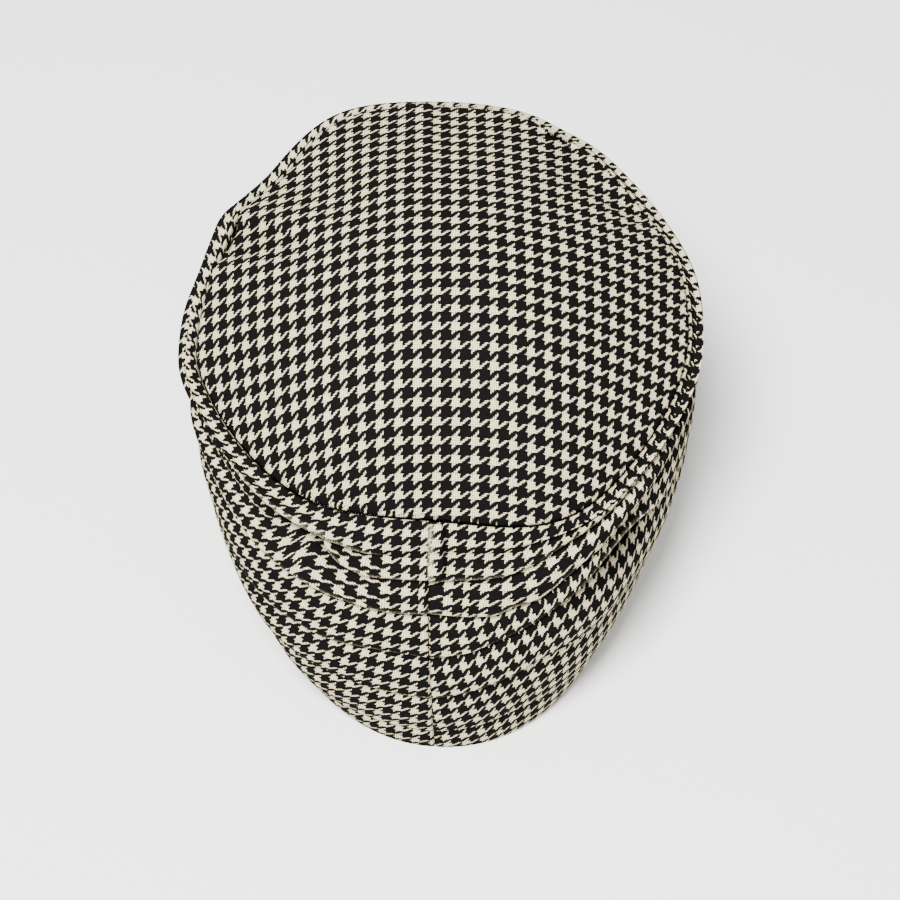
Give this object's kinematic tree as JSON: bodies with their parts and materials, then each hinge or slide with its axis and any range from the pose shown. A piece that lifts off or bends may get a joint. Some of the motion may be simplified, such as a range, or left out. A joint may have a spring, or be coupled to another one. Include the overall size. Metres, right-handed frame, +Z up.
{
  "type": "sewn turban hat",
  "caption": "Soft turban-style hat of houndstooth wool: a domed round top panel sewn to a puffed side panel with tucks running round it, a centre-back seam and a turned hem.",
  "frame": {"origin": "bottom centre of the hat's bounding box, on the surface that the rim rests on", "axes": "+Z up from the rim, +Y towards the wearer's forehead, -Y the centre-back seam, +X the wearer's right"},
  "size_m": [0.2422, 0.2716, 0.196],
  "materials": {
    "houndstooth_wool": "matt woven wool, black and cream houndstooth check"
  },
  "bodies": {
    "root": {"crown_tip": "houndstooth_wool", "side_panel": "houndstooth_wool"}
  },
  "joints": []
}
